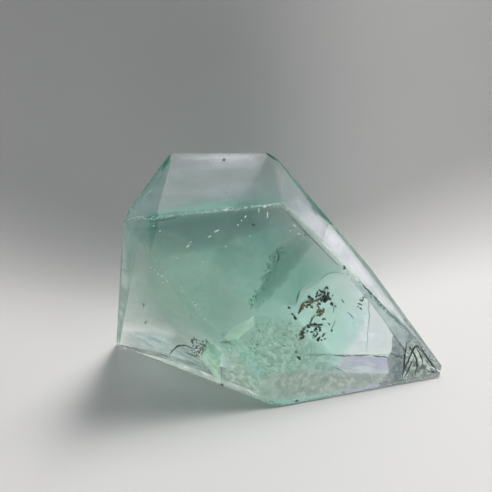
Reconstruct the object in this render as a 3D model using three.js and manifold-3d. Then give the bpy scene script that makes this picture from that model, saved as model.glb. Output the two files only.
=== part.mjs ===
// A free-form polished fluorite crystal: one clear green block, ground flat on every side,
// that stands on its flat base. Millimetres, +Z up, the large front facet looks toward -Y.
// The origin is the centre of the crystal's bounding box, at the height of the base.

import * as THREE from 'three';
import { mergeVertices } from 'three/addons/utils/BufferGeometryUtils.js';
import Module from 'manifold-3d';

const wasm = await Module();
wasm.setup();

// ---- Driving dimensions ------------------------------------------------------------------

// The corners where three or more facets meet, before the edges are worn.
const LEFT_HEEL = new THREE.Vector3(-30.2, 6.7, 0);
const FRONT_TOE = new THREE.Vector3(0.1, -9.8, 0);
const TIP_FOOT = new THREE.Vector3(29.8, -2.1, 0);
const TIP_TOP = new THREE.Vector3(30.2, -1.2, 2.2);
const BACK_TOE = new THREE.Vector3(23.4, 6.0, 0);
const BACK_HEEL = new THREE.Vector3(-27.9, 9.0, 0);
const LEFT_SHOULDER = new THREE.Vector3(-25.1, -3.3, 35.4);
const INNER_SHOULDER = new THREE.Vector3(0.8, 2.9, 33.9);
const RIGHT_SHOULDER = new THREE.Vector3(16.6, 5.0, 19.7);
const CROWN_LEFT = new THREE.Vector3(-17.7, 6.7, 42.0);
const CROWN_RIGHT = new THREE.Vector3(-1.1, 9.8, 40.3);
const CROWN_BACK_FOOT = new THREE.Vector3(-23.4, 8.75, 0);

// Three corners of the small facet that takes off the left shoulder.
const CHEEK_BROW = new THREE.Vector3(-21.7, -2.5, 35.2);
const CHEEK_FOOT = new THREE.Vector3(-21.6, -4.2, 30.6);
const CHEEK_SIDE = new THREE.Vector3(-25.2, -2.7, 34.1);

const INSIDE = new THREE.Vector3(0, 2, 12); // any point within the crystal
const TIP_SLANT = new THREE.Vector3(0.09, 1, 0); // the run of the small broken face at the tip

const ROUGH_BLOCK = 160; // the uncut block and the grinding blocks, larger than the crystal
const WORN_EDGE = 0.3; // width of the flat that wear leaves along an edge
const WORN_BROW = 0.62; // the broad worn edge between the top and the front facet
const WORN_CORNER = 0.5; // how far wear reaches in from a corner

const CHIP_FACES = 1; // subdivision of the lump that each flake is struck from

// ---- Solids ------------------------------------------------------------------------------

/** A closed three.js geometry as a solid that can be cut. */
function toSolid(geometry) {
  const shape = geometry.clone();
  shape.deleteAttribute('normal');
  shape.deleteAttribute('uv');
  const merged = mergeVertices(shape, 1e-5);
  return new wasm.Manifold(new wasm.Mesh({
    numProp: 3,
    vertProperties: new Float32Array(merged.attributes.position.array),
    triVerts: new Uint32Array(merged.index.array),
  }));
}

/** A solid as a three.js geometry with flat facets. */
function toGeometry(solid) {
  const mesh = solid.getMesh();
  const geometry = new THREE.BufferGeometry();
  geometry.setAttribute('position', new THREE.BufferAttribute(mesh.vertProperties, 3));
  geometry.setIndex(new THREE.BufferAttribute(mesh.triVerts, 1));
  return geometry;
}

/** Grinds away all that lies in front of a plane. */
function grind(solid, plane) {
  const block = new THREE.BoxGeometry(ROUGH_BLOCK, ROUGH_BLOCK, ROUGH_BLOCK);
  const turn = new THREE.Quaternion().setFromUnitVectors(new THREE.Vector3(0, 0, 1), plane.normal);
  const centre = plane.normal.clone().multiplyScalar(ROUGH_BLOCK / 2 - plane.constant);
  block.applyQuaternion(turn);
  block.translate(centre.x, centre.y, centre.z);
  return solid.subtract(toSolid(block));
}

// ---- Facets ------------------------------------------------------------------------------

/** The plane through three corners, with its normal out of the crystal. */
function facet(a, b, c) {
  const plane = new THREE.Plane().setFromCoplanarPoints(a, b, c);
  return plane.distanceToPoint(INSIDE) > 0 ? plane.negate() : plane;
}

const FACETS = {
  base: facet(FRONT_TOE, TIP_FOOT, LEFT_HEEL),
  front: facet(FRONT_TOE, TIP_FOOT, LEFT_SHOULDER),
  left: facet(LEFT_SHOULDER, LEFT_HEEL, FRONT_TOE),
  cheek: facet(CHEEK_BROW, CHEEK_FOOT, CHEEK_SIDE),
  top: facet(LEFT_SHOULDER, INNER_SHOULDER, CROWN_LEFT),
  right: facet(INNER_SHOULDER, TIP_TOP, CROWN_RIGHT),
  heel: facet(CROWN_LEFT, LEFT_SHOULDER, LEFT_HEEL),
  backLeft: facet(CROWN_LEFT, CROWN_RIGHT, CROWN_BACK_FOOT),
  back: facet(BACK_HEEL, BACK_TOE, CROWN_RIGHT),
  backRight: facet(CROWN_RIGHT, RIGHT_SHOULDER, BACK_TOE),
  backTip: facet(RIGHT_SHOULDER, TIP_TOP, BACK_TOE),
  tip: facet(TIP_TOP, TIP_FOOT, TIP_TOP.clone().add(TIP_SLANT)),
};

// ---- Wear --------------------------------------------------------------------------------

/** The point on the edge between two facets that lies nearest to a corner. */
function onEdge(first, second, near) {
  const point = near.clone();
  const lean = first.normal.dot(second.normal);
  const a = first.distanceToPoint(near);
  const b = second.distanceToPoint(near);
  const share = 1 / (1 - lean * lean);
  point.addScaledVector(first.normal, (lean * b - a) * share);
  point.addScaledVector(second.normal, (lean * a - b) * share);
  return point;
}

/** The narrow flat that wear leaves along the edge between two facets. */
function wornEdge(first, second, near, width) {
  const normal = first.normal.clone().add(second.normal).normalize();
  const halfTurn = first.normal.angleTo(second.normal) / 2;
  const depth = (width / 2) * Math.tan(halfTurn);
  const point = onEdge(first, second, near).addScaledVector(normal, -depth);
  return new THREE.Plane().setFromNormalAndCoplanarPoint(normal, point);
}

/** The small flat that wear leaves on a corner, square to the line out of the crystal. */
function wornCorner(corner, facets, reach) {
  const normal = new THREE.Vector3();
  facets.forEach((name) => normal.add(FACETS[name].normal));
  normal.normalize();
  const point = corner.clone().addScaledVector(normal, -reach);
  return new THREE.Plane().setFromNormalAndCoplanarPoint(normal, point);
}

const EDGES = [
  ['top', 'front', LEFT_SHOULDER, WORN_BROW],
  ['front', 'right', TIP_TOP, WORN_EDGE],
  ['top', 'right', INNER_SHOULDER, WORN_EDGE],
  ['front', 'left', FRONT_TOE, 2 * WORN_EDGE],
  ['front', 'cheek', CHEEK_FOOT, WORN_EDGE],
  ['left', 'cheek', CHEEK_FOOT, WORN_EDGE],
  ['top', 'cheek', CHEEK_BROW, WORN_EDGE],
  ['heel', 'cheek', CHEEK_SIDE, WORN_EDGE],
  ['top', 'heel', CROWN_LEFT, WORN_EDGE],
  ['left', 'heel', LEFT_HEEL, WORN_EDGE],
  ['top', 'backLeft', CROWN_LEFT, WORN_EDGE],
  ['heel', 'backLeft', CROWN_LEFT, WORN_EDGE],
  ['back', 'backLeft', CROWN_RIGHT, WORN_EDGE],
  ['back', 'backRight', CROWN_RIGHT, WORN_EDGE],
  ['right', 'backRight', CROWN_RIGHT, WORN_EDGE],
  ['right', 'backTip', TIP_TOP, WORN_EDGE],
  ['backRight', 'backTip', BACK_TOE, WORN_EDGE],
  ['front', 'base', FRONT_TOE, WORN_EDGE],
  ['left', 'base', FRONT_TOE, WORN_EDGE],
  ['heel', 'base', LEFT_HEEL, WORN_EDGE],
  ['back', 'base', BACK_TOE, WORN_EDGE],
  ['backTip', 'base', BACK_TOE, WORN_EDGE],
];

const CORNERS = [
  [CROWN_RIGHT, ['top', 'right', 'back'], 1.3 * WORN_CORNER],
  [CROWN_LEFT, ['top', 'heel', 'backLeft'], WORN_CORNER],
  [CHEEK_SIDE, ['heel', 'left', 'cheek'], 0.5 * WORN_CORNER],
  [INNER_SHOULDER, ['top', 'right', 'front'], 0.25 * WORN_CORNER],
  [LEFT_HEEL, ['left', 'heel', 'base'], 1.4 * WORN_CORNER],
  [FRONT_TOE, ['left', 'front', 'base'], WORN_CORNER],
  [BACK_TOE, ['back', 'backTip', 'base'], WORN_CORNER],
];

// ---- Chips and pits ----------------------------------------------------------------------

/** A flake's hollow: an angular lump, flattened and turned, struck from the surface. */
function flake(centre, length, width, depth, along, outward) {
  const lump = new THREE.IcosahedronGeometry(0.5, CHIP_FACES);
  lump.scale(length, width, 2 * depth);
  const across = new THREE.Vector3().crossVectors(outward, along).normalize();
  const run = new THREE.Vector3().crossVectors(across, outward).normalize();
  lump.applyMatrix4(new THREE.Matrix4().makeBasis(run, across, outward.clone().normalize()));
  lump.translate(centre.x, centre.y, centre.z);
  return toSolid(lump);
}

/** A chip out of the edge between two facets, a share of the way from one corner to another. */
function edgeChip([first, second, from, to, share, length, bite]) {
  const along = new THREE.Vector3().subVectors(to, from);
  const near = from.clone().lerp(to, share);
  const point = onEdge(FACETS[first], FACETS[second], near);
  const outward = FACETS[first].normal.clone().add(FACETS[second].normal);
  return flake(point, length, 2 * bite, bite, along, outward);
}

/** A pit in the front facet, at a height above the base and a distance across from the toe. */
function frontPit([across, height, length, width, depth, lean]) {
  const { normal } = FACETS.front;
  const near = new THREE.Vector3(across, 0, height);
  const run = (normal.x * across + normal.z * height + FACETS.front.constant) / -normal.y;
  const along = new THREE.Vector3(Math.cos(lean), 0, Math.sin(lean));
  return flake(near.setY(run), length, width, depth, along, normal);
}

const EDGE_CHIPS = [
  // first facet, second facet, from corner, to corner, share of the way, length, bite
  ['front', 'right', INNER_SHOULDER, TIP_TOP, 0.365, 0.9, 0.45],
  ['front', 'right', INNER_SHOULDER, TIP_TOP, 0.5, 4.4, 0.5],
  ['front', 'right', INNER_SHOULDER, TIP_TOP, 0.555, 1.5, 0.45],
  ['front', 'right', INNER_SHOULDER, TIP_TOP, 0.74, 2.6, 0.26],
  ['front', 'right', INNER_SHOULDER, TIP_TOP, 0.9, 2.2, 0.3],
  ['left', 'base', FRONT_TOE, LEFT_HEEL, 0.345, 1.2, 0.45],
  ['left', 'base', FRONT_TOE, LEFT_HEEL, 0.93, 1.6, 0.35],
  ['front', 'base', FRONT_TOE, TIP_FOOT, 0.41, 0.8, 0.3],
  ['front', 'base', FRONT_TOE, TIP_FOOT, 0.72, 1.4, 0.28],
  ['top', 'front', LEFT_SHOULDER, INNER_SHOULDER, 0.15, 1.8, 0.3],
  ['top', 'front', LEFT_SHOULDER, INNER_SHOULDER, 0.7, 1.2, 0.26],
  ['top', 'backLeft', CROWN_LEFT, CROWN_RIGHT, 0.42, 1.0, 0.22],
  ['back', 'backRight', CROWN_RIGHT, BACK_TOE, 0.63, 1.8, 0.34],
];

const FRONT_PITS = [
  // across, height, length, width, depth, lean of the length from level
  [8.0, 18.5, 2.0, 1.1, 0.5, 1.35],
  [5.1, 17.7, 1.6, 0.6, 0.3, 0.6],
  [4.8, 13.2, 0.9, 0.6, 0.35, 0.1],
  [6.8, 13.0, 1.4, 0.5, 0.3, -0.25],
  [6.5, 11.7, 1.6, 1.0, 0.5, 1.3],
];

// ---- The crystal -------------------------------------------------------------------------

function crystalSolid() {
  let crystal = toSolid(new THREE.BoxGeometry(ROUGH_BLOCK, ROUGH_BLOCK, ROUGH_BLOCK));
  for (const plane of Object.values(FACETS)) {
    crystal = grind(crystal, plane);
  }
  for (const [first, second, near, width] of EDGES) {
    crystal = grind(crystal, wornEdge(FACETS[first], FACETS[second], near, width));
  }
  for (const [corner, facets, reach] of CORNERS) {
    crystal = grind(crystal, wornCorner(corner, facets, reach));
  }
  for (const hollow of [...EDGE_CHIPS.map(edgeChip), ...FRONT_PITS.map(frontPit)]) {
    crystal = crystal.subtract(hollow);
  }
  return crystal;
}

/** Moves the geometry so that the origin is under the middle of its bounding box. */
function seat(geometry) {
  geometry.computeBoundingBox();
  const { min, max } = geometry.boundingBox;
  return geometry.translate(-(min.x + max.x) / 2, -(min.y + max.y) / 2, -min.z);
}

const fluorite = new THREE.MeshStandardMaterial({
  name: 'fluorite',
  color: 0x8fb5a5,
  roughness: 0.06,
  metalness: 0,
});

const crystal = new THREE.Mesh(seat(toGeometry(crystalSolid())), fluorite);
crystal.name = 'fluorite_crystal';

const part = new THREE.Group();
part.name = 'fluorite_polyhedron';
part.add(crystal);

export default part;
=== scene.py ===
"""Looks of the polished green fluorite crystal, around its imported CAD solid. Metres, +Z up."""

import math
import random
from random import gauss, uniform

import bmesh
import bpy
from mathutils import Matrix, Vector, noise
from mathutils.bvhtree import BVHTree
from mathutils.geometry import convex_hull_2d


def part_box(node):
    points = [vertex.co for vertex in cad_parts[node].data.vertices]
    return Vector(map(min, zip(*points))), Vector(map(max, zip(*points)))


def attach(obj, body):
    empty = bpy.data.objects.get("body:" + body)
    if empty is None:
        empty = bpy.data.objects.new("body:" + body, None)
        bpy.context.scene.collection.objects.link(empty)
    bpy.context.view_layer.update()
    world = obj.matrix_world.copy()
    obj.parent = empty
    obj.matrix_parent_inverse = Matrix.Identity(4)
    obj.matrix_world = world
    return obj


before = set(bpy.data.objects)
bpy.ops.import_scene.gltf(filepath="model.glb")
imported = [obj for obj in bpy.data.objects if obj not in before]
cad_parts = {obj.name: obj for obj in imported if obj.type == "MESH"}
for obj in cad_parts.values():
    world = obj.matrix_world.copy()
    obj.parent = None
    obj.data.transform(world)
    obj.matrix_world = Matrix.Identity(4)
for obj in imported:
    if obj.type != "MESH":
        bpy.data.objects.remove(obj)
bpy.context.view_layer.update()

MM = 0.001
random.seed(1602)

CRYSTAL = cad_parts["fluorite_crystal"]

# ---- Camera ----

PICTURE_SIZE = 492  # the picture is square
CAMERA_PLACE = Vector((-5.5, -125.6, 115.6)) * MM
CAMERA_LOOKS_DOWN = math.radians(35.0)
CAMERA_VIEW_ANGLE = math.radians(30.0)
CAMERA_SEES = (5 * MM, 10.0)  # nearest and farthest


def new_object(name, data):
    made = bpy.data.objects.new(name, data)
    bpy.context.scene.collection.objects.link(made)
    return made


def make_camera():
    data = bpy.data.cameras.new("camera")
    data.sensor_fit = "HORIZONTAL"
    data.angle = CAMERA_VIEW_ANGLE
    data.clip_start, data.clip_end = CAMERA_SEES
    camera = new_object("camera", data)
    camera.location = CAMERA_PLACE
    camera.rotation_euler = (math.pi / 2 - CAMERA_LOOKS_DOWN, 0, 0)
    bpy.context.scene.camera = camera


# ---- Stage and light ----

SWEEP_NEAR = 12 * MM  # where the backdrop starts to rise, straight behind the crystal
SWEEP_FAR = 18 * MM  # and how much further back it starts away from the crystal
SWEEP_BULGE = 45 * MM  # half width of the near part
SWEEP_MIDDLE = -4 * MM
NEAR_RADIUS = 17 * MM
FAR_RADIUS = 30 * MM
SWEEP_RISE = math.radians(72)
BACKDROP_TOP = 62 * MM
FLOOR_REACH = 0.9
FLOOR_GAP = 0.12 * MM  # air under the base, as a polished face never quite touches the floor
BACKDROP_COLUMNS = 81
BACKDROP_STEPS = 16
PALE = (0.8, 0.79, 0.785)
PALE_ROUGHNESS = 0.6


def shader_of(material):
    return material.node_tree.nodes["Principled BSDF"]


def set_inputs(node, values):
    for name, value in values.items():
        node.inputs[name].default_value = value


def join(source, output, node, socket):
    """Links two nodes of the same material."""
    node.id_data.links.new(source.outputs[output], node.inputs[socket])


def plain_material(name, colour, roughness):
    material = bpy.data.materials.new(name)
    material.use_nodes = True
    set_inputs(shader_of(material), {"Base Color": (*colour, 1), "Roughness": roughness})
    return material


def pale_material(name):
    return plain_material(name, PALE, PALE_ROUGHNESS)


def one_way(material):
    """Lets light and sight through from behind."""
    nodes = material.node_tree.nodes
    side = nodes.new("ShaderNodeNewGeometry")
    clear = nodes.new("ShaderNodeBsdfTransparent")
    mix = nodes.new("ShaderNodeMixShader")
    join(side, "Backfacing", mix, "Fac")
    join(shader_of(material), "BSDF", mix, 1)
    join(clear, "BSDF", mix, 2)
    join(mix, "Shader", nodes["Material Output"], "Surface")
    return material


def stage_piece(name, vertices, faces, material):
    mesh = bpy.data.meshes.new(name)
    mesh.from_pydata(vertices, [], faces)
    mesh.shade_smooth()
    mesh.materials.append(material)
    new_object(name, mesh)


def make_stage():
    """A pale floor, and a backdrop that sweeps up from it, nearest behind the crystal."""
    r = FLOOR_REACH
    corners = [(-r, -r, -FLOOR_GAP), (r, -r, -FLOOR_GAP), (r, r, -FLOOR_GAP), (-r, r, -FLOOR_GAP)]
    stage_piece("floor", corners, [(0, 1, 2, 3)], pale_material("pale_floor"))
    vertices = []
    for column in range(BACKDROP_COLUMNS):
        across = column / (BACKDROP_COLUMNS - 1) * 2 - 1
        x = FLOOR_REACH * across * abs(across)
        away = 1 - math.exp(-(((x - SWEEP_MIDDLE) / SWEEP_BULGE) ** 2))
        start = SWEEP_NEAR + SWEEP_FAR * away
        radius = NEAR_RADIUS + (FAR_RADIUS - NEAR_RADIUS) * away
        for step in range(BACKDROP_STEPS + 1):
            angle = SWEEP_RISE * step / BACKDROP_STEPS
            y = start + radius * math.sin(angle)
            z = radius * (1 - math.cos(angle)) - FLOOR_GAP
            vertices.append((x, y, z))
        vertices.append((x, y + (BACKDROP_TOP - z) / math.tan(SWEEP_RISE), BACKDROP_TOP))
    rows = BACKDROP_STEPS + 2
    faces = []
    for column in range(BACKDROP_COLUMNS - 1):
        for row in range(rows - 1):
            corner = column * rows + row
            faces.append((corner, corner + rows, corner + rows + 1, corner + 1))
    stage_piece("backdrop", vertices, faces, one_way(pale_material("pale_backdrop")))


AIM = Vector((0, 0, 15)) * MM
# Each soft box: bearing and elevation in degrees, distance, width and height, radiance, colour.
SOFT_BOXES = {
    "key": ((40, 62), 0.4, (0.15, 0.15), 17.5, (1.0, 0.985, 0.96)),
    "back": ((-15, 53), 0.9, (1.3, 0.65), 0.55, (1, 1, 1)),
    "side": ((75, 9.5), 0.5, (0.14, 0.14), 3.0, (1, 1, 1)),
}
SKY_COLOUR = (0.93, 0.96, 1.0)
SKY_STRENGTH = 0.2


def panel(name, place, distance, size, radiance, colour):
    """A soft box that faces the crystal, as bright as its radiance seen from there.

    place is its bearing, clockwise from straight behind the crystal, and its elevation.
    """
    bearing, rise = (math.radians(angle) for angle in place)
    wide, high = size
    data = bpy.data.lights.new(name, "AREA")
    data.shape = "RECTANGLE"
    data.size, data.size_y = wide, high
    data.energy = radiance * math.pi * wide * high
    data.color = colour
    light = new_object(name, data)
    level = math.cos(rise)
    way = Vector((math.sin(bearing) * level, math.cos(bearing) * level, math.sin(rise)))
    light.location = AIM + way * distance
    light.rotation_euler = (-way).to_track_quat("-Z", "Y").to_euler()


def make_light():
    world = bpy.data.worlds.new("studio")
    world.use_nodes = True
    background = world.node_tree.nodes["Background"]
    set_inputs(background, {"Color": (*SKY_COLOUR, 1), "Strength": SKY_STRENGTH})
    bpy.context.scene.world = world
    for name, box in SOFT_BOXES.items():
        panel(name, *box)
    bpy.context.scene.view_settings.view_transform = "Standard"


# ---- Materials ----

FLUORITE_IOR = 1.434
PALE_LOSS = (20.0, 10.0, 12.0)  # absorption per metre in red, green and blue
DENSITY = 400.0  # of every absorption, whose colour then sets what is lost
MILK_GLOW = 0.6  # stands in for light scattered in the stone, which hardly reaches a sheet there
POLISH_WAVES = 130
POLISH_DEPTH = 0.04 * MM
RUB_SPOTS = 260
RUB_FROM, RUB_TO = 0.64, 0.8  # the noise values between which a rubbed spot comes in
RUB_ROUGHNESS = 0.12
NOISE_DETAIL = 5.0
MILK_ROUGHNESS = 0.7
MILK_MOTTLE = (0.4, 0.6)  # the noise values where a veil is all dark and all light
PATCHES_FROM, PATCHES_TO = 0.3, 0.65  # and where it is thinnest and fullest
FLAKE_ROUGHNESS = 0.35


def principled(name, colour, roughness, transmission=0.0, ior=FLUORITE_IOR):
    material = plain_material(name, colour, roughness)
    set_inputs(shader_of(material), {"IOR": ior, "Transmission Weight": transmission})
    return material


def absorb(material, loss):
    """Adds an absorption to what a closed clear mesh holds."""
    nodes = material.node_tree.nodes
    volume = nodes.new("ShaderNodeVolumeAbsorption")
    set_inputs(volume, {"Color": (*[1 - part / DENSITY for part in loss], 1), "Density": DENSITY})
    join(volume, "Volume", nodes["Material Output"], "Volume")
    return material


def mottle(material, dark, light, scale, low=0.35, high=0.65, stretch=(1, 1, 1), turn=(0, 0, 0)):
    """Varies the base colour over the piece with soft noise, drawn out where stretch is large."""
    nodes = material.node_tree.nodes
    place = nodes.new("ShaderNodeTexCoord")
    shape = nodes.new("ShaderNodeMapping")
    shape.vector_type = "TEXTURE"
    set_inputs(shape, {"Scale": stretch, "Rotation": [math.radians(angle) for angle in turn]})
    grain = nodes.new("ShaderNodeTexNoise")
    set_inputs(grain, {"Scale": scale, "Detail": NOISE_DETAIL})
    ramp = nodes.new("ShaderNodeValToRGB")
    for stop, position, colour in zip(ramp.color_ramp.elements, (low, high), (dark, light)):
        stop.position = position
        stop.color = (*colour, 1)
    join(place, "Object", shape, "Vector")
    join(shape, "Vector", grain, "Vector")
    join(grain, "Fac", ramp, "Fac")
    join(ramp, "Color", shader_of(material), "Base Color")
    return material


def veil_material(name, dark, light, scale, opacity, even=0.2, stretch=(1, 1, 1), turn=(0, 0, 0)):
    """A milky sheet that gives off painted light: see-through in soft patches, and fading out toward its
    border.
    """
    material = principled(name, light, MILK_ROUGHNESS)
    mottle(material, dark, light, scale, *MILK_MOTTLE, stretch, turn)
    nodes = material.node_tree.nodes
    shader = shader_of(material)
    join(nodes["Color Ramp"], "Color", shader, "Emission Color")
    set_inputs(shader, {"Emission Strength": MILK_GLOW, "Specular IOR Level": 0.0})
    patches = nodes.new("ShaderNodeMapRange")
    set_inputs(patches, {"From Min": PATCHES_FROM, "From Max": PATCHES_TO})
    set_inputs(patches, {"To Min": even * opacity, "To Max": opacity})
    border = nodes.new("ShaderNodeAttribute")
    border.attribute_name = "fade"
    alpha = nodes.new("ShaderNodeMath")
    alpha.operation = "MULTIPLY"
    join(nodes["Noise Texture"], "Fac", patches, "Value")
    join(patches, "Result", alpha, 0)
    join(border, "Fac", alpha, 1)
    join(alpha, "Value", shader, "Alpha")
    return material


# Each chip or grain look: dark colour, light colour, noise scale, and how much painted light it gives
# off, a glow standing in for the light it catches.
FLAKE_LOOKS = {
    "sparkle_painted_glint": ((0.7, 0.85, 0.82), (1, 1, 1), 900, 0.28),
    "bruise_pale_and_painted_highlight": ((0.55, 0.72, 0.7), (0.95, 1, 1), 700, 0.1),
    "grain_teal": ((0.16, 0.28, 0.24), (0.26, 0.4, 0.35), 900, 0.3),
    "grain_grey": ((0.26, 0.35, 0.3), (0.4, 0.49, 0.44), 900, 0.3),
    "grain_pale": ((0.6, 0.76, 0.68), (0.92, 1, 0.95), 900, 0.16),
    "ochre": ((0.26, 0.14, 0.09), (0.72, 0.54, 0.38), 2600, 0.06),
    "white_grain": ((0.8, 0.8, 0.8), (1, 1, 1), 900, 0.2),
}


def flake_material(name, dark, light, scale, painted_glow):
    material = mottle(principled(name, light, FLAKE_ROUGHNESS), dark, light, scale)
    # Its emission is painted light, a glow standing in for the light a chip, grain or thread catches.
    set_inputs(shader_of(material), {"Emission Color": (*light, 1), "Emission Strength": painted_glow})
    return material


def flake_look(name):
    return flake_material(name, *FLAKE_LOOKS[name])


def tint(name, loss):
    """A colour zone of the same stone, so sight passes straight in and out; growth layers in the green
    zone and violet band, painted shade in the other bodies.
    """
    return absorb(principled(name, (1, 1, 1), 0.0, 1.0, 1.0), loss)


def wear(material):
    """Polish that waves a little, with faint rubbed spots."""
    nodes = material.node_tree.nodes
    place = nodes.new("ShaderNodeTexCoord")
    waves = nodes.new("ShaderNodeTexNoise")
    rubs = nodes.new("ShaderNodeTexNoise")
    set_inputs(waves, {"Scale": POLISH_WAVES})
    set_inputs(rubs, {"Scale": RUB_SPOTS})
    bump = nodes.new("ShaderNodeBump")
    spread = nodes.new("ShaderNodeMapRange")
    set_inputs(bump, {"Distance": POLISH_DEPTH})
    set_inputs(spread, {"From Min": RUB_FROM, "From Max": RUB_TO, "To Max": RUB_ROUGHNESS})
    join(place, "Object", waves, "Vector")
    join(place, "Object", rubs, "Vector")
    join(waves, "Fac", bump, "Height")
    join(bump, "Normal", shader_of(material), "Normal")
    join(rubs, "Fac", spread, "Value")
    join(spread, "Result", shader_of(material), "Roughness")
    return material


def dress_crystal():
    fluorite = absorb(principled("fluorite", (1, 1, 1), 0.0, 1.0), PALE_LOSS)
    CRYSTAL.data.materials.clear()
    CRYSTAL.data.materials.append(wear(fluorite))


# ---- Finding places inside the crystal ----

SOLID = BVHTree.FromPolygons(
    [v.co.copy() for v in CRYSTAL.data.vertices], [p.vertices[:] for p in CRYSTAL.data.polygons]
)
LOW, HIGH = (Vector(corner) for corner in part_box("fluorite_crystal"))
MIDDLE = (LOW + HIGH) / 2
INSIDE_PICTURE = (250, 280)  # a picture point well within the crystal
LOOK_FURTHER = 0.01  # the share of the way to it that a look just past the outline moves in
JUST_INSIDE = 0.02  # millimetres, so that a look on misses the face that it came in by


def toward(around, up):
    """The direction by degrees round from the front, counted to the right, and degrees up."""
    around, up = math.radians(around), math.radians(up)
    return Vector((math.sin(around) * math.cos(up), -math.cos(around) * math.cos(up), math.sin(up)))


def sight(px, py):
    """The direction in which the camera sees a point of the picture."""
    spread = math.tan(CAMERA_VIEW_ANGLE / 2) / (PICTURE_SIZE / 2)
    right = (px - PICTURE_SIZE / 2) * spread
    up = (PICTURE_SIZE / 2 - py) * spread
    cos, sin = math.cos(CAMERA_LOOKS_DOWN), math.sin(CAMERA_LOOKS_DOWN)
    return Vector((right, cos + up * sin, up * cos - sin)).normalized()


def look_in(px, py):
    """Where the sight line of a picture point enters the crystal, its way on, and its length."""
    ray = sight(px, py)
    hit, normal, _, _ = SOLID.ray_cast(CAMERA_PLACE, ray)
    if hit is None:  # just past the outline, so look a little further in
        aim_x, aim_y = INSIDE_PICTURE
        return look_in(px + (aim_x - px) * LOOK_FURTHER, py + (aim_y - py) * LOOK_FURTHER)
    slant = -ray.dot(normal)
    bend = math.sqrt(1 - (1 - slant * slant) / FLUORITE_IOR**2)
    way = (ray / FLUORITE_IOR + normal * (slant / FLUORITE_IOR - bend)).normalized()
    _, _, _, length = SOLID.ray_cast(hit + way * JUST_INSIDE * MM, way)
    return hit, way, length


def inside(px, py, share):
    """The point a share of the way through the crystal, on the sight line of a picture point."""
    hit, way, length = look_in(px, py)
    return hit + way * length * share


def beneath(px, py, depth):
    """The point a little way in on the sight line of a picture point."""
    hit, way, length = look_in(px, py)
    return hit + way * min(depth, length / 2)


def on_crystal(px, py):
    return SOLID.ray_cast(CAMERA_PLACE, sight(px, py))[0] is not None


# ---- Building pieces ----

PX = 0.185 * MM  # one picture point, at the crystal
SKIN = 0.02 * MM  # how far under the faces the pieces inside are pressed
LEAST_FACE = 3 * MM * MM  # smaller triangles, mostly of the worn edges, are left out
SAME_WAY = 0.9999  # the cosine above which two faces are one flat


def flat_faces():
    """The crystal's larger flats, each once, by outward normal and distance from the origin."""
    faces = []
    for face in CRYSTAL.data.polygons:
        known = any(face.normal.dot(normal) > SAME_WAY for normal, _ in faces)
        if face.area > LEAST_FACE and not known:
            faces.append((face.normal.copy(), face.normal.dot(face.center)))
    return faces


PRESSED_BY = flat_faces() * 2  # twice, as a push from one face can go past another


def settle(verts):
    """Moves a grain as a whole back under the crystal's flat faces."""
    for normal, distance in PRESSED_BY:
        past = max(vert.co.dot(normal) for vert in verts) - distance + SKIN
        if past > 0:
            for vert in verts:
                vert.co -= normal * past


def press(bm):
    """Presses every point that pokes out back under the crystal's faces."""
    for vert in bm.verts:
        for normal, distance in PRESSED_BY:
            vert.co -= normal * max(0, vert.co.dot(normal) - distance + SKIN)


def add_piece(name, bm, material):
    press(bm)
    bmesh.ops.recalc_face_normals(bm, faces=bm.faces)
    mesh = bpy.data.meshes.new(name)
    bm.to_mesh(mesh)
    bm.free()
    mesh.materials.append(material)
    piece = new_object(name, mesh)
    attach(piece, "root")


def facing(px, py, spin, tip=0.0):
    """Turns a chip to face the sight line, its long way spun in the picture by degrees."""
    _, way, _ = look_in(px, py)
    face = way.to_track_quat("-Z", "Y").to_matrix()
    spun = face @ Matrix.Rotation(math.radians(spin), 3, "Z")
    return spun @ Matrix.Rotation(math.radians(tip), 3, "X")


LYING = (0.1, -0.25)  # how far the way up of a lying chip leans in x and in y


def lying(px, py, spin, lean):
    """As facing, but for a chip that lies near level and so catches the light from above."""
    _, way, _ = look_in(px, py)
    normal = Vector((*[gauss(middle, lean) for middle in LYING], 1)).normalized()
    wanted = facing(px, py, spin) @ Vector((1, 0, 0))
    along = (wanted - way * (wanted.dot(normal) / way.dot(normal))).normalized()
    return Matrix((along, normal.cross(along), normal)).transposed()


FLAKE_CORNERS = 6
FLAKE_SKEW = 0.3  # how far a corner is off its place, of the step between corners
FLAKE_REACH = (0.35, 0.58)  # of its length and width
FLAKE_THICKNESS = 0.3  # of its width


def add_flake(bm, centre, length, width, turn):
    """A thin irregular chip."""
    rim = []
    for i in range(FLAKE_CORNERS):
        angle = math.tau * (i + uniform(-FLAKE_SKEW, FLAKE_SKEW)) / FLAKE_CORNERS
        reach = uniform(*FLAKE_REACH)
        corner = Vector((math.cos(angle) * reach * length, math.sin(angle) * reach * width, 0))
        rim.append(bm.verts.new(centre + turn @ corner))
    rise = turn @ Vector((0, 0, width * FLAKE_THICKNESS / 2))
    top, bottom = bm.verts.new(centre + rise), bm.verts.new(centre - rise)
    settle([*rim, top, bottom])
    for start, end in zip(rim, rim[1:] + rim[:1]):
        bm.faces.new((start, end, top))
        bm.faces.new((end, start, bottom))


def within(px, py, outline):
    """Whether a picture point lies inside an outline."""
    crossed = False
    for (ax, ay), (bx, by) in zip(outline, outline[1:] + outline[:1]):
        if (ay > py) != (by > py) and px < ax + (py - ay) / (by - ay) * (bx - ax):
            crossed = not crossed
    return crossed


STREWN_STRETCH = 1.6  # how much longer than wide a strewn chip is
STREWN_LENGTHS = (0.7, 1.4)  # as parts of that length
STREWN_TIP = (-40, 40)  # degrees


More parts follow.
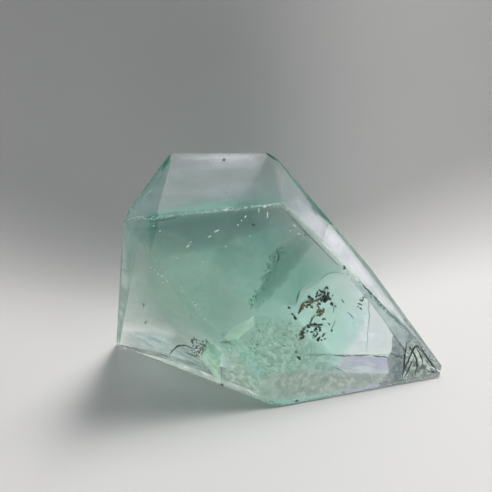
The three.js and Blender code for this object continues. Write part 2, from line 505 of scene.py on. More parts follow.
def strew(bm, outline, count, sizes, shares):
    """Random chips all over a picture outline, between two shares of the depth."""
    left, right = min(p[0] for p in outline), max(p[0] for p in outline)
    top, bottom = min(p[1] for p in outline), max(p[1] for p in outline)
    while count:
        px, py = uniform(left, right), uniform(top, bottom)
        if not within(px, py, outline):
            continue
        count -= 1
        width = uniform(*sizes) * PX
        turn = facing(px, py, uniform(0, 180), uniform(*STREWN_TIP))
        length = width * STREWN_STRETCH * uniform(*STREWN_LENGTHS)
        add_flake(bm, inside(px, py, uniform(*shares)), length, width, turn)


BRUISE_STRETCH = 1.8
BRUISE_DEPTH = 0.25 * MM
BRUISE_DEPTHS = (0.5, 1.3)  # as parts of that depth
BRUISE_SPIN = 25  # about how many degrees they turn off the edge
BRUISE_LEAN = 0.4


def strew_line(bm, points, count, sizes, spread):
    """Small bruises just under a worn edge, given by picture points along it."""
    spans = [math.dist(a, b) for a, b in zip(points, points[1:])]
    for _ in range(count):
        along = uniform(0, sum(spans))
        for (a, b), span in zip(zip(points, points[1:]), spans):
            if along <= span:
                break
            along -= span
        part = min(along / span, 1)
        px = a[0] + (b[0] - a[0]) * part + gauss(0, spread)
        py = a[1] + (b[1] - a[1]) * part + gauss(0, spread)
        if not on_crystal(px, py):
            continue
        spin = math.degrees(math.atan2(a[1] - b[1], b[0] - a[0])) + gauss(0, BRUISE_SPIN)
        width = uniform(*sizes) * PX
        centre = beneath(px, py, uniform(*BRUISE_DEPTHS) * BRUISE_DEPTH)
        add_flake(bm, centre, width * BRUISE_STRETCH, width, lying(px, py, spin, BRUISE_LEAN))


LUMP_DETAIL = 2
LUMP_KNOBS = 0.45  # of its radius
COARSE_KNOBS, FINE_KNOBS = (1.6, 1.6), (3.9, 0.5)  # how many there are and how high they stand
KNOB_SHIFT = (-50, 50)  # moves the noise, so that no two lumps are alike


def add_lump(bm, px, py, share, wide, high, spin):
    """A knobbly grain; its size is in picture points."""
    turn = facing(px, py, spin)
    size = (wide * PX / 2, high * PX / 2, min(wide, high) * PX / 2)
    centre = inside(px, py, share)
    made = bmesh.ops.create_icosphere(bm, subdivisions=LUMP_DETAIL, radius=1.0)
    shift = Vector(uniform(*KNOB_SHIFT) for _ in range(3))
    for vert in made["verts"]:
        knobs = [noise.noise(vert.co * many + shift) * high for many, high in (COARSE_KNOBS, FINE_KNOBS)]
        swell = 1 + LUMP_KNOBS * sum(knobs)
        vert.co = centre + turn @ Vector(vert.co[i] * size[i] * swell for i in range(3))
    settle(made["verts"])


CRUST_STEP = 0.35  # from grain to grain, of the crust's width
CRUST_SPREAD = 0.18  # and how far they stray to the side
CRUST_DEPTH = 0.015  # how much their share of the depth varies
CRUST_WIDTHS = (0.55, 1.0)  # as parts of the crust's width
CRUST_HEIGHTS = (1.0, 1.6)  # as parts of their own width
CRUMB_CHANCE = 0.28  # that a grain has a crumb beside it
CRUMB_SPREAD = 0.45
CRUMB_WIDTH = 0.6  # picture points
CRUMB_HEIGHTS = (0.8, 1.8)


def stray(width, spread):
    return Vector((gauss(0, 1), gauss(0, 1))) * width * spread


def add_crust(bm, spots, share, width):
    """A knobbly crust of small grains along picture points."""
    line = smooth_line([Vector(spot) for spot in spots])
    for start, end in zip(line, line[1:]):
        for _ in range(math.ceil((end - start).length / (width * CRUST_STEP))):
            place = start.lerp(end, random.random()) + stray(width, CRUST_SPREAD)
            wide = width * uniform(*CRUST_WIDTHS)
            high = wide * uniform(*CRUST_HEIGHTS)
            depth = share + uniform(-CRUST_DEPTH, CRUST_DEPTH)
            add_lump(bm, *place, depth, wide, high, uniform(0, 180))
            if random.random() < CRUMB_CHANCE:
                place += stray(width, CRUMB_SPREAD)
                high = uniform(*CRUMB_HEIGHTS)
                add_lump(bm, *place, share, CRUMB_WIDTH, high, uniform(0, 180))


SMOOTH_STEPS = 5  # points on a smooth line for each given one


def smooth_line(points):
    """Catmull-Rom points through the given ones."""
    ends = [points[0]] + list(points) + [points[-1]]
    line = []
    for a, b, c, d in zip(ends, ends[1:], ends[2:], ends[3:]):
        for step in range(SMOOTH_STEPS):
            t = step / SMOOTH_STEPS
            bend = (a * 2 - b * 5 + c * 4 - d) * t**2 + (b * 3 - a - c * 3 + d) * t**3
            line.append((b * 2 + (c - a) * t + bend) / 2)
    return line + [points[-1]]


THREAD_SHARE = 0.1
THREAD_WANDER = 0.25  # picture points to the side
THREAD_WIDTHS = (0.7, 1.3)  # as parts of its width
THREAD_END = 0.3  # and how much of it is left at an end


def add_thread(bm, spots, width, share=THREAD_SHARE):
    """A closed thin thread behind picture points, tapered at both ends."""
    line = smooth_line([inside(px, py, share) for px, py in spots])
    _, way, _ = look_in(*spots[0])
    rings = []
    for i, point in enumerate(line):
        along = (line[min(i + 1, len(line) - 1)] - line[max(i - 1, 0)]).normalized()
        side = along.cross(way).normalized()
        deep = along.cross(side)
        part = i / (len(line) - 1)
        taper = THREAD_END + (1 - THREAD_END) * math.sin(math.pi * part)
        half = width * PX / 2 * taper * uniform(*THREAD_WIDTHS)
        middle = point + side * gauss(0, THREAD_WANDER * PX)
        rings.append([bm.verts.new(middle + way * half) for way in (side, deep, -side, -deep)])
    for first, second in zip(rings, rings[1:]):
        for i in range(4):
            bm.faces.new((first[i], first[(i + 1) % 4], second[(i + 1) % 4], second[i]))
    bm.faces.new(rings[0][::-1])
    bm.faces.new(rings[-1])


LEVEL = Vector((0.1, -0.35, 1)).normalized()  # how a sheet lies that catches the light from above
NEAREST, FARTHEST = 0.06, 0.94  # the shares of the depth that a level sheet keeps between
SHEET_CUTS = 4  # points on its rim for each corner
SHEET_WAVE = 1.2 * MM  # about how long its ripples are
RIPPLE_TAPER = 1.3  # ripples and thickness get less from the middle to the rim
THICKNESS_TAPER = 1.15


def on_level(px, py, anchor):
    """Where a sight line meets the level sheet through the anchor."""
    hit, way, length = look_in(px, py)
    reach = (anchor - hit).dot(LEVEL) / way.dot(LEVEL)
    return hit + way * min(max(reach, NEAREST * length), FARTHEST * length)


def sheet_rim(outline, shares, level):
    """A sheet's rim behind a picture outline; shares is its depth at one side and at the other."""
    first, last = shares
    if level:
        middle = [sum(p[i] for p in outline) / len(outline) for i in (0, 1)]
        anchor = inside(*middle, first)
        return [on_level(px, py, anchor) for px, py in outline]
    rim = []
    for i, (px, py) in enumerate(outline):
        blend = 0.5 - 0.5 * math.cos(math.tau * i / len(outline))
        rim.append(inside(px, py, first + (last - first) * blend))
    return rim


def close_sheet(bm, rim, thickness, jag=0.0, ripple=0.0, border=0.0):
    """A thin closed sheet within a rim, with a torn edge and a rippled face.

    border is how much of its milk is left at the rim.
    """
    fade = bm.verts.layers.float_color.get("fade") or bm.verts.layers.float_color.new("fade")
    edge = []
    for start, end in zip(rim, rim[1:] + rim[:1]):
        edge += [start.lerp(end, cut / SHEET_CUTS) for cut in range(SHEET_CUTS)]
    centre = sum(edge, Vector()) / len(edge)
    normal = Vector()
    for start, end in zip(edge, edge[1:] + edge[:1]):
        normal += (start - centre).cross(end - centre)
    normal.normalize()
    edge = [p + (p - centre).normalized() * gauss(0, jag * PX) for p in edge]

    def pair(spot, half, level):
        both = (bm.verts.new(spot + normal * half), bm.verts.new(spot - normal * half))
        for vert in both:
            vert[fade] = (level, level, level, 1)
        return both

    rings = []
    levels = ((0.4, 1.0), (0.7, 0.75 + 0.25 * border), (1.0, border))  # where a ring is, and its milk
    for part, level in levels:
        ring = []
        for p in edge:
            spot = centre.lerp(p, part)
            wave = ripple * PX * noise.noise(spot / SHEET_WAVE) * (RIPPLE_TAPER - part)
            ring.append(pair(spot + normal * wave, thickness * PX / 2 * (THICKNESS_TAPER - part), level))
        rings.append(ring)
    hubs = pair(centre, thickness * PX / 2, 1.0)
    for i in range(len(edge)):
        j = (i + 1) % len(edge)
        for side in (0, 1):
            bm.faces.new((hubs[side], rings[0][i][side], rings[0][j][side]))
            for inner, outer in zip(rings, rings[1:]):
                bm.faces.new((inner[i][side], outer[i][side], outer[j][side], inner[j][side]))
        outer = rings[-1]
        bm.faces.new((outer[i][0], outer[i][1], outer[j][1], outer[j][0]))


# ---- Colour zones ----

ZONE_SCALE = 0.985  # keeps a zone just under the polished faces
WELD = 0.001 * MM


def sight_cut(start, end, outer, tilt):
    """A cut along the sight lines of two picture points, turned about their line by degrees."""
    first, way, _ = look_in(*start)
    line = look_in(*end)[0] - first
    normal = (Matrix.Rotation(math.radians(tilt), 3, line) @ way).cross(line).normalized()
    if (look_in(*outer)[0] - first).dot(normal) < 0:
        normal = -normal
    return first, normal


def add_zone(name, loss, cuts):
    """The part of the crystal behind every cut, filled with a colour."""
    bm = bmesh.new()
    bm.from_mesh(CRYSTAL.data)
    bmesh.ops.remove_doubles(bm, verts=bm.verts, dist=WELD)
    for vert in bm.verts:
        vert.co = MIDDLE + (vert.co - MIDDLE) * ZONE_SCALE
    for point, outward in cuts:
        geometry = bm.verts[:] + bm.edges[:] + bm.faces[:]
        bmesh.ops.bisect_plane(bm, geom=geometry, plane_co=point, plane_no=outward, clear_outer=True)
        bmesh.ops.holes_fill(bm, edges=[edge for edge in bm.edges if edge.is_boundary])
    add_piece(name, bm, tint(name + "_tint", loss))


# Each cut by sight: its start and end, a point on the side that is cut off, and its tilt.
CROWN_CUT = ((160, 212), (240, 194), (200, 165), 9)
HEEL_CUT = ((148, 222), (149, 244), (134, 228), 0)
LAVENDER_CUT = ((326, 388), (384, 290), (392, 350), 12)
BRIGHT_FACE = (56.4, 40.2)  # which way the bright right face looks, round from the front and up
BRIGHT_CUT_DEPTH = 17.1 * MM  # from the origin; the face itself lies at 21.1
FADE_CUT = (Vector((-9.9, 0, 11.9)) * MM, Vector((-0.52, 2.02, -1)))  # thins the green downward
GREEN_LOSS = (52.0, 12.0, 22.0)


def make_green_zone():
    bright = toward(*BRIGHT_FACE)
    cuts = [sight_cut(*cut) for cut in (CROWN_CUT, HEEL_CUT, LAVENDER_CUT)]
    cuts += [FADE_CUT, (bright * BRIGHT_CUT_DEPTH, bright)]
    add_zone("green_zone", GREEN_LOSS, cuts)


def add_body(name, loss, spots):
    """A tinted body behind a picture outline; each corner has its near and far share of depth."""
    bm = bmesh.new()
    near = [bm.verts.new(inside(px, py, first)) for px, py, first, _ in spots]
    far = [bm.verts.new(inside(px, py, last)) for px, py, _, last in spots]
    bm.faces.new(near)
    bm.faces.new(far[::-1])
    for i in range(len(spots)):
        j = (i + 1) % len(spots)
        bm.faces.new((near[i], far[i], far[j], near[j]))
    bmesh.ops.triangulate(bm, faces=bm.faces)
    add_piece(name, bm, tint(name + "_tint", loss))


# The dark green, deep green and crown bodies are green tints that also paint shade: the shaded backdrop
# and inner reflections seen through the stone. The violet band is only colour.
# Each tinted body: its loss, and for each corner its picture point and near and far share of depth.
BODIES = {
    "dark_green_painted_shade": ((100.0, 52.0, 64.0), [
        (296, 306, 0.3, 0.6), (297, 295, 0.25, 0.65), (301, 289, 0.25, 0.65), (313, 281, 0.25, 0.65),
        (327, 275, 0.25, 0.65), (343, 272, 0.3, 0.6), (336, 262, 0.4, 0.5), (318, 248, 0.4, 0.5),
        (300, 234, 0.4, 0.5), (282, 226, 0.44, 0.46), (262, 238, 0.44, 0.46), (258, 262, 0.44, 0.46),
        (266, 290, 0.4, 0.5), (280, 304, 0.4, 0.5),
    ]),
    "deep_green_painted_shade": ((38.0, 24.0, 22.0), [
        (150, 221, 0.25, 0.8), (190, 217, 0.3, 0.75), (240, 213, 0.4, 0.6), (285, 212, 0.48, 0.52),
        (262, 240, 0.48, 0.52), (215, 275, 0.48, 0.52), (175, 268, 0.42, 0.58), (152, 246, 0.3, 0.75),
    ]),
    "violet_band": ((75.0, 100.0, 50.0), [
        (340, 357, 0.4, 0.5), (352, 356, 0.3, 0.6), (388, 357, 0.25, 0.7), (389, 371, 0.25, 0.7),
        (366, 373, 0.3, 0.6), (342, 368, 0.4, 0.5),
    ]),
    "crown_painted_shade": ((55.0, 20.0, 24.0), [
        (244, 158, 0.45, 0.55), (258, 156, 0.1, 0.9), (270, 156, 0.1, 0.9), (277, 182, 0.1, 0.9),
        (281, 203, 0.1, 0.9), (250, 206, 0.1, 0.9), (226, 208, 0.4, 0.6), (236, 188, 0.45, 0.55),
    ]),
}


def make_shades():
    for name, (loss, spots) in BODIES.items():
        add_body(name, loss, spots)


# ---- Veils, flakes and grains ----

# Sparkles are small chips whose white colour and glow paint glints.
# Each sparkle: its picture point, length, width and spin in degrees.
SPARKLES = [
    (162, 276, 6, 3.5, 60), (163, 283, 4, 2.5, 20), (155, 270, 5, 1.8, -40), (158, 274, 3, 2, 0),
    (167, 281, 3, 1.8, 50), (151, 268, 3, 1.2, 0), (159, 280, 2.5, 1.5, 80),
    (194, 302, 4, 1.8, 60), (196, 306, 4.5, 1.6, 40), (199, 309, 2.5, 1.2, 10),
    (188, 246, 6, 1.8, 40), (191, 242, 4, 1.5, 55), (210, 237, 5, 1.4, 15), (217, 231, 7, 1.8, 20),
    (238, 225, 3, 2, 45), (242, 221, 5, 1.3, 70), (246, 217, 5, 1.3, 60), (259, 211, 6, 1.2, 85),
    (268, 215, 9, 1.4, 95), (154, 226, 3.5, 1.8, 0), (160, 231, 2.5, 1.6, 30),
    (295, 226, 5, 1.5, 120), (299, 234, 5, 1.4, 110), (291, 231, 3, 1.2, 60), (177, 258, 2.5, 1.2, 30),
    (203, 262, 2, 1.1, 70), (226, 247, 2.5, 1.2, 20), (181, 287, 2.2, 1.2, 50), (250, 236, 2, 1.2, 0),
    (226, 210, 7, 2, 5), (236, 210, 4, 2, 5), (265, 207, 4, 1.8, 5), (270, 205, 3.5, 1.8, 0),
]
EDGE_TOP_FRONT = [(121, 217), (145, 219), (165, 217), (180, 214), (250, 207), (283, 204)]
EDGE_FRONT_BRIGHT = [(284, 208), (312, 236), (343, 268), (372, 297), (405, 331), (438, 364)]
EDGE_TOP_BACK = [(174, 155), (220, 155), (268, 155)]
EDGE_LEFT_FRONT = [(147, 249), (180, 290), (222, 341), (276, 404)]
EDGE_FOOT = [(120, 346), (180, 368), (276, 404)]
EDGE_FOOT_RIGHT = [(278, 404), (340, 393), (400, 383), (436, 375)]
# Bruises are real wear under the edges, and their glow paints the highlights along those edges.
# Each bruised edge: how many bruises, their sizes, and how far they stray from it.
BRUISES = [
    (EDGE_TOP_FRONT, 150, (0.6, 1.5), 0.7), (EDGE_FRONT_BRIGHT, 130, (0.6, 1.5), 0.7),
    (EDGE_TOP_BACK, 40, (0.5, 1.0), 0.4), (EDGE_LEFT_FRONT, 70, (0.5, 1.0), 0.6),
    (EDGE_FOOT, 80, (0.6, 1.3), 0.8), (EDGE_FOOT_RIGHT, 90, (0.6, 1.3), 0.8),
]
SPARKLE_SHARE = 0.03
SPARKLE_SHARE_VARIES = 0.05
SPARKLE_LEAN = 0.25
SPARKLE_LENGTH = 0.9  # of the listed length
SPARKLE_WIDTH = 0.9
FLAT_VIEW_WIDTH = 1.1  # makes up for the width that a chip lying level loses to the eye


def make_sparkles():
    bm = bmesh.new()
    for px, py, length, width, spin in SPARKLES:
        depth = SPARKLE_SHARE + uniform(-SPARKLE_SHARE_VARIES, SPARKLE_SHARE_VARIES)
        turn = lying(px, py, spin, SPARKLE_LEAN)
        wide = width * SPARKLE_WIDTH * PX * FLAT_VIEW_WIDTH
        add_flake(bm, inside(px, py, depth), length * PX * SPARKLE_LENGTH, wide, turn)
    add_piece("sparkles", bm, flake_look("sparkle_painted_glint"))


def make_bruises():
    bm = bmesh.new()
    for bruises in BRUISES:
        strew_line(bm, *bruises)
    add_piece("edge_bruises_and_painted_highlights", bm, flake_look("bruise_pale_and_painted_highlight"))


GRAINS = [(248, 340), (262, 337), (264, 347), (252, 351), (246, 347)]
FRINGE = [
    (280, 244), (284, 253), (276, 269), (269, 284), (259, 300), (249, 311), (247, 301), (256, 286),
    (262, 272), (270, 256),
]
MOTTLED = [(250, 326), (268, 318), (290, 320), (302, 340), (300, 366), (286, 388), (266, 376), (252, 352)]
# Each piece of strewn grains: its look, and its beds by outline, count, sizes and shares of the depth.
STREWN = {
    "teal_grains": ("grain_teal", [(FRINGE, 64, (0.8, 2.4), (0.26, 0.3))]),
    "grey_grains": ("grain_grey", [(MOTTLED, 40, (0.8, 2.2), (0.1, 0.3))]),
    "pale_grains": (
        "grain_pale", [(GRAINS, 16, (1.0, 2.6), (0.2, 0.4)), (MOTTLED, 110, (0.7, 2.0), (0.1, 0.3))]
    ),
}


def make_grains():
    for name, (look, beds) in STREWN.items():
        bm = bmesh.new()
        for bed in beds:
            strew(bm, *bed)
        add_piece(name, bm, flake_look(look))


VEIL_THICKNESS, VEIL_RIPPLE = 0.8, 1.5  # picture points
SKIN_VEIL_THICKNESS = 0.6


def add_veil(name, outline, shares, look, jag=1.0, level=False, border=0.0, **shape):
    """A milky veil deep in the crystal, behind a picture outline; some are sheets of painted light or
    shade.
    """
    bm = bmesh.new()
    close_sheet(bm, sheet_rim(outline, shares, level), VEIL_THICKNESS, jag, VEIL_RIPPLE, border)
    add_piece(name, bm, veil_material(name + "_milk", *look, **shape))


def add_skin_veil(name, outline, depth, look, border=0.0, **shape):
    """A milky veil close under the faces seen within a picture outline; some are sheets of painted light
    or shade.
    """
    bm = bmesh.new()
    rim = [beneath(px, py, depth) for px, py in outline]
    close_sheet(bm, rim, SKIN_VEIL_THICKNESS, border=border)
    add_piece(name, bm, veil_material(name + "_milk", *look, **shape))


# Each veil: how it is made, name, its shares of the depth or its depth under the faces; its look, by
# dark and light colour, noise scale and opacity; what sets it apart; and its outline.
VEILS = [
    (add_veil, "mottled_veil", (0.2, 0.35), ((0.16, 0.24, 0.19), (0.6, 0.68, 0.62), 2400, 0.4),
     dict(jag=2.0, stretch=(2.5, 1, 1), turn=(0, 35, 0)), MOTTLED),
    (add_veil, "haze_veil", (0.4, 0.5), ((0.31, 0.37, 0.32), (0.5, 0.56, 0.5), 1100, 0.75),
     dict(jag=2.0, border=0.15, even=0.5),
     [(226, 336), (262, 314), (300, 320), (326, 345), (345, 372), (338, 392), (290, 401), (262, 400),
      (234, 372)]),
    # Haze near the foot that also paints the shade of the backdrop seen in the base's inner reflection.
    (add_skin_veil, "foot_haze_veil", 0.5 * MM, ((0.27, 0.32, 0.28), (0.42, 0.47, 0.43), 800, 0.8),
     dict(border=0.4, even=0.5),
     [(258, 376), (300, 370), (345, 372), (390, 373), (396, 378), (360, 388), (318, 395), (279, 401),
      (266, 394)]),
    (add_skin_veil, "corner_haze_veil", 0.5 * MM, ((0.28, 0.38, 0.33), (0.34, 0.44, 0.38), 120, 0.5),
     dict(even=0.85),
     [(122, 240), (134, 228), (174, 230), (222, 266), (262, 312), (258, 344), (238, 352), (214, 346),
      (180, 340), (150, 326), (132, 296), (124, 264)]),
    (add_skin_veil, "low_left_veil", 0.5 * MM, ((0.32, 0.41, 0.35), (0.49, 0.58, 0.51), 1100, 0.7),
     dict(border=0.2, even=0.4),
     [(221, 349), (236, 345), (252, 371), (271, 399), (262, 399), (240, 391), (222, 383)]),
    # A dark sheet of painted shade, for the shaded backdrop seen through the upper front.
    (add_skin_veil, "upper_shade_veil", 0.5 * MM, ((0.08, 0.14, 0.12), (0.11, 0.17, 0.15), 200, 0.24),
     dict(even=0.7),
     [(128, 228), (200, 214), (270, 206), (264, 230), (214, 250), (156, 260)]),
    (add_skin_veil, "left_edge_veil", 0.3 * MM, ((0.28, 0.36, 0.32), (0.4, 0.47, 0.43), 300, 0.7),
     dict(even=0.7),
     [(118, 232), (126, 245), (131, 262), (128, 290), (124, 320), (119, 344), (116.5, 340), (117, 290)]),
    (add_skin_veil, "top_haze_veil", 0.4 * MM, ((0.24, 0.29, 0.29), (0.31, 0.35, 0.36), 500, 0.5),
     dict(even=0.7, stretch=(8, 1, 1)),
     [(170, 157), (220, 157), (262, 157), (276, 198), (250, 203), (200, 209), (150, 216), (124, 217),
      (140, 195)]),
    (add_veil, "jagged_veil", (0.3, 0.4), ((0.08, 0.17, 0.14), (0.16, 0.28, 0.23), 700, 0.55),
     dict(jag=1.8, border=0.2, even=0.25),
     [(277, 247), (288, 240), (300, 235), (314, 243), (304, 258), (292, 272), (280, 288), (264, 304),
      (250, 309), (252, 297), (261, 288), (259, 279), (268, 272), (265, 264), (275, 261), (271, 254)]),
    (add_veil, "cloudy_veil", (0.5, 0.65), ((0.3, 0.4, 0.36), (0.45, 0.52, 0.48), 220, 0.45),
     dict(jag=0.6),
     [(142, 226), (280, 220), (330, 270), (300, 330), (240, 342), (184, 334), (148, 284)]),
    (add_veil, "faint_right_veil", (0.3, 0.4), ((0.14, 0.26, 0.23), (0.24, 0.38, 0.34), 400, 0.4),
     dict(jag=2.0),
     [(236, 216), (282, 212), (300, 232), (262, 262), (236, 250)]),
    (add_veil, "left_foot_veil", (0.5, 0.7), ((0.1, 0.17, 0.14), (0.34, 0.42, 0.38), 1000, 0.5),
     dict(jag=1.5),
     [(172, 322), (216, 344), (224, 384), (190, 366), (168, 346)]),
    (add_veil, "tip_veil", (0.3, 0.5), ((0.06, 0.12, 0.09), (0.6, 0.68, 0.62), 900, 0.75),
     dict(jag=0.6),
     [(406, 334), (420, 348), (436, 363), (436, 374), (418, 378), (400, 380), (403, 356)]),
    # A dark sheet of painted shade, where the tip crack turns light back by inner reflection.
    (add_veil, "dark_band_veil", (0.2, 0.3), ((0.14, 0.19, 0.19), (0.28, 0.33, 0.34), 900, 0.7),
     dict(jag=0.3, border=0.7, even=0.7),
     [(397, 327), (406, 334), (405, 346), (403, 360), (401, 379), (391, 385), (389, 372), (387, 360),
      (392, 349), (392, 338)]),
    # The mint wedge and patches are cleavage cracks; their pale colour and glow paint the brightness of
    # their inner reflection.
    (add_veil, "mint_wedge", (0.1, 0.14), ((0.46, 0.6, 0.5), (0.58, 0.74, 0.63), 700, 0.85),
     dict(jag=0.4, border=0.9, even=0.8),
     [(222, 338), (231, 329.5), (243, 321.5), (254.5, 315.5), (254, 325), (247, 332), (238, 339),
      (228, 340.5)]),
    (add_veil, "mint_patch_left", (0.3, 0.3), ((0.38, 0.5, 0.41), (0.5, 0.61, 0.52), 600, 0.8),
     dict(jag=0.4, level=True, border=0.8, even=0.7),
     [(206, 341), (222, 340), (222, 352), (220, 366), (222, 384), (211, 371), (198, 357)]),
    (add_veil, "mint_patch_low", (0.3, 0.3), ((0.32, 0.46, 0.37), (0.42, 0.55, 0.46), 900, 0.6),
     dict(jag=0.4, level=True, border=0.6, even=0.5),
     [(238, 352), (247, 352), (248, 366), (241, 372)]),
    (add_veil, "silk_veil", (0.6, 0.6), ((0.27, 0.32, 0.31), (0.52, 0.58, 0.57), 650, 0.75),
     dict(jag=0.8, level=True, stretch=(6, 1, 1), turn=(0, 20, 0)),
     [(119, 330), (150, 329), (182, 337), (206, 362), (214, 382), (160, 358), (119, 344)]),
    (add_veil, "pale_left_veil", (0.4, 0.4), ((0.24, 0.36, 0.3), (0.4, 0.5, 0.44), 300, 0.45), {},
     [(120, 268), (146, 262), (172, 300), (184, 330), (150, 330), (119, 326)]),
    (add_veil, "swirl_veil", (0.25, 0.25), ((0.26, 0.3, 0.31), (0.62, 0.66, 0.68), 900, 0.45),
     dict(stretch=(4, 1, 1)),
     [(300, 360), (340, 358), (386, 360), (386, 384), (340, 391), (300, 396)]),
    (add_veil, "lavender_veil", (0.4, 0.4), ((0.62, 0.63, 0.68), (0.74, 0.75, 0.8), 300, 0.35), {},
     [(340, 310), (366, 298), (392, 306), (394, 350), (366, 353), (338, 350)]),
    (add_veil, "window_veil", (0.5, 0.5), ((0.6, 0.64, 0.62), (0.72, 0.76, 0.74), 400, 0.25),
     dict(even=0.7),
     [(300, 294), (318, 281), (332, 275), (347, 276), (372, 302), (390, 322), (392, 350), (366, 353),
      (338, 350), (320, 342), (302, 326)]),
    (add_veil, "crown_veil", (0.4, 0.4), ((0.44, 0.45, 0.49), (0.6, 0.61, 0.65), 300, 0.5),
     dict(stretch=(4, 1, 1)),
     [(168, 158), (176, 153.5), (220, 153.5), (267, 153.5), (262, 168), (215, 172), (172, 172)]),
    (add_skin_veil, "left_sliver_veil", 0.3 * MM, ((0.46, 0.53, 0.49), (0.7, 0.78, 0.72), 700, 0.9),
     dict(border=0.3, even=0.6, stretch=(4, 1, 1)),
     [(128, 350), (160, 357), (200, 370), (250, 390), (268, 400), (220, 384), (170, 365)]),
    # A pale sheet close under the bright right face: painted reflection.
    (add_skin_veil, "bright_strip_veil", 0.4 * MM, ((0.46, 0.47, 0.49), (0.55, 0.56, 0.58), 250, 0.8),
     dict(border=0.4, even=0.85),
     [(287, 206), (314, 233), (347, 266), (374, 295), (407, 329), (434, 359), (403, 318), (368, 271),
      (330, 224), (298, 196)]),
    (add_skin_veil, "dim_strip_veil", 0.4 * MM, ((0.24, 0.29, 0.29), (0.32, 0.37, 0.37), 400, 0.5),
     dict(border=0.5, even=0.7),
     [(275, 158), (281, 180), (286, 204), (298, 217), (322, 217), (302, 190), (284, 168)]),
    # A lighter sheet along the front face's right rim: painted light over the darker refraction there.
    (add_skin_veil, "right_rim_veil", 0.4 * MM, ((0.42, 0.5, 0.49), (0.5, 0.58, 0.57), 500, 0.9),
     dict(border=0.5, even=0.7),
     [(352, 274), (372, 297), (408, 333), (405, 349), (388, 326), (366, 298), (350, 280)]),
]


def make_veils():
    for make, name, depth, look, rest, outline in VEILS:
        make(name, outline, depth, look, **rest)


HEEL_FACE = (-118.5, 14.7)  # which way it looks, in degrees round from the front and up
HEEL_FOUND = 0.999  # the cosine above which a flat is that face
HEEL_DEPTH = 0.6 * MM
HEEL_SPREAD = 0.98  # of the face
HEEL_THICKNESS, HEEL_RIPPLE, HEEL_BORDER = 1.0, 0.5, 0.6
HEEL_LOOK = ((0.19, 0.28, 0.26), (0.26, 0.35, 0.33), 80, 0.95, 0.85)


def make_heel_veil():
    """A milky veil just under the whole heel face."""
    out = toward(*HEEL_FACE)
    corners = []
    for polygon in CRYSTAL.data.polygons:
        if polygon.normal.dot(out) > HEEL_FOUND:
            corners += [CRYSTAL.data.vertices[i].co.copy() for i in polygon.vertices]
    across = out.orthogonal().normalized()
    upward = out.cross(across)
    flat = [Vector((p.dot(across), p.dot(upward))) for p in corners]
    rim = [corners[i] for i in convex_hull_2d(flat)]
    centre = sum(rim, Vector()) / len(rim)
    rim = [centre + (p - centre) * HEEL_SPREAD - out * HEEL_DEPTH for p in rim]
    bm = bmesh.new()
    close_sheet(bm, rim, HEEL_THICKNESS, 0.0, HEEL_RIPPLE, HEEL_BORDER)
    add_piece("heel_veil", bm, veil_material("heel_veil_milk", *HEEL_LOOK))


# ---- Dark inclusions and cracks ----

# Each stroke of grains: its picture points and its width.
DARK_STROKES = [
    ([(324.3, 288.5), (324.4, 293), (325.4, 297), (324.6, 301.5)], 3.4),
    ([(323.6, 292), (324.2, 300)], 3.0), ([(321.8, 291), (322.4, 296), (322, 301)], 2.2),
    ([(327, 291.5), (327.2, 298)], 1.8), ([(317.6, 291.6), (317, 294), (316.6, 297)], 1.6),
    ([(308.5, 296), (310.6, 298.3), (313, 299.4)], 2.2), ([(306.4, 301), (308.4, 301.8)], 2.0),
    ([(323.6, 308.6), (323.8, 310)], 1.6), ([(322.8, 318.6), (322.9, 319.4)], 1.5),
    ([(317.4, 309.4), (318.4, 311)], 1.2), ([(303.2, 327.4), (305.4, 327.6), (307.4, 325.8)], 3.0),
    ([(307.4, 325.8), (310.6, 324.6)], 1.4),
    ([(311.6, 325), (314.6, 324.6), (318.4, 326), (320.8, 328.4)], 2.4),
    ([(315.8, 328.6), (314.6, 333), (314, 337.6)], 3.2), ([(317.4, 333), (316.2, 336)], 1.6),
    ([(303.4, 337.4), (300.4, 338.2), (298.8, 339.4)], 2.0), ([(302.2, 335), (304, 336.4)], 1.6),
    ([(288, 307), (289.4, 308.2)], 1.8), ([(294.8, 316.8), (295.2, 319.6)], 2.2),
    ([(291.4, 313.4), (293, 315.2)], 1.2), ([(329.2, 323.8), (329.4, 324.8)], 1.4),
    ([(332, 329.4), (331.6, 331)], 1.6), ([(336, 305.6), (335.6, 306.8)], 1.0),
    ([(296, 351.6), (296.2, 352.8)], 1.4), ([(298, 356.6), (299.2, 359.4)], 2.2),
    ([(296.2, 401), (297.4, 401.2)], 1.6), ([(365.2, 293.6), (365.6, 297)], 1.6),
    ([(367.4, 296.6), (371.8, 296.8)], 1.1), ([(359.6, 299.6), (361.8, 301), (363.2, 299.8)], 1.0),
    ([(358.4, 303.6), (361.6, 304.8)], 1.1), ([(360.6, 308), (361.4, 309.4)], 1.3),
    ([(357.4, 306), (358.2, 306.6)], 0.9), ([(362.4, 296.8), (364, 298)], 0.9),
    ([(143.4, 303.4), (143.6, 306.4)], 1.2), ([(144.8, 323.2), (146.4, 321.4)], 1.1),
    ([(223.4, 159.8), (224.8, 160.2)], 1.7), ([(221.4, 383), (221.8, 389)], 1.2),
    ([(304.6, 234.4), (305.8, 236)], 1.4), ([(252.6, 224.4), (253.4, 225)], 1.6),
]
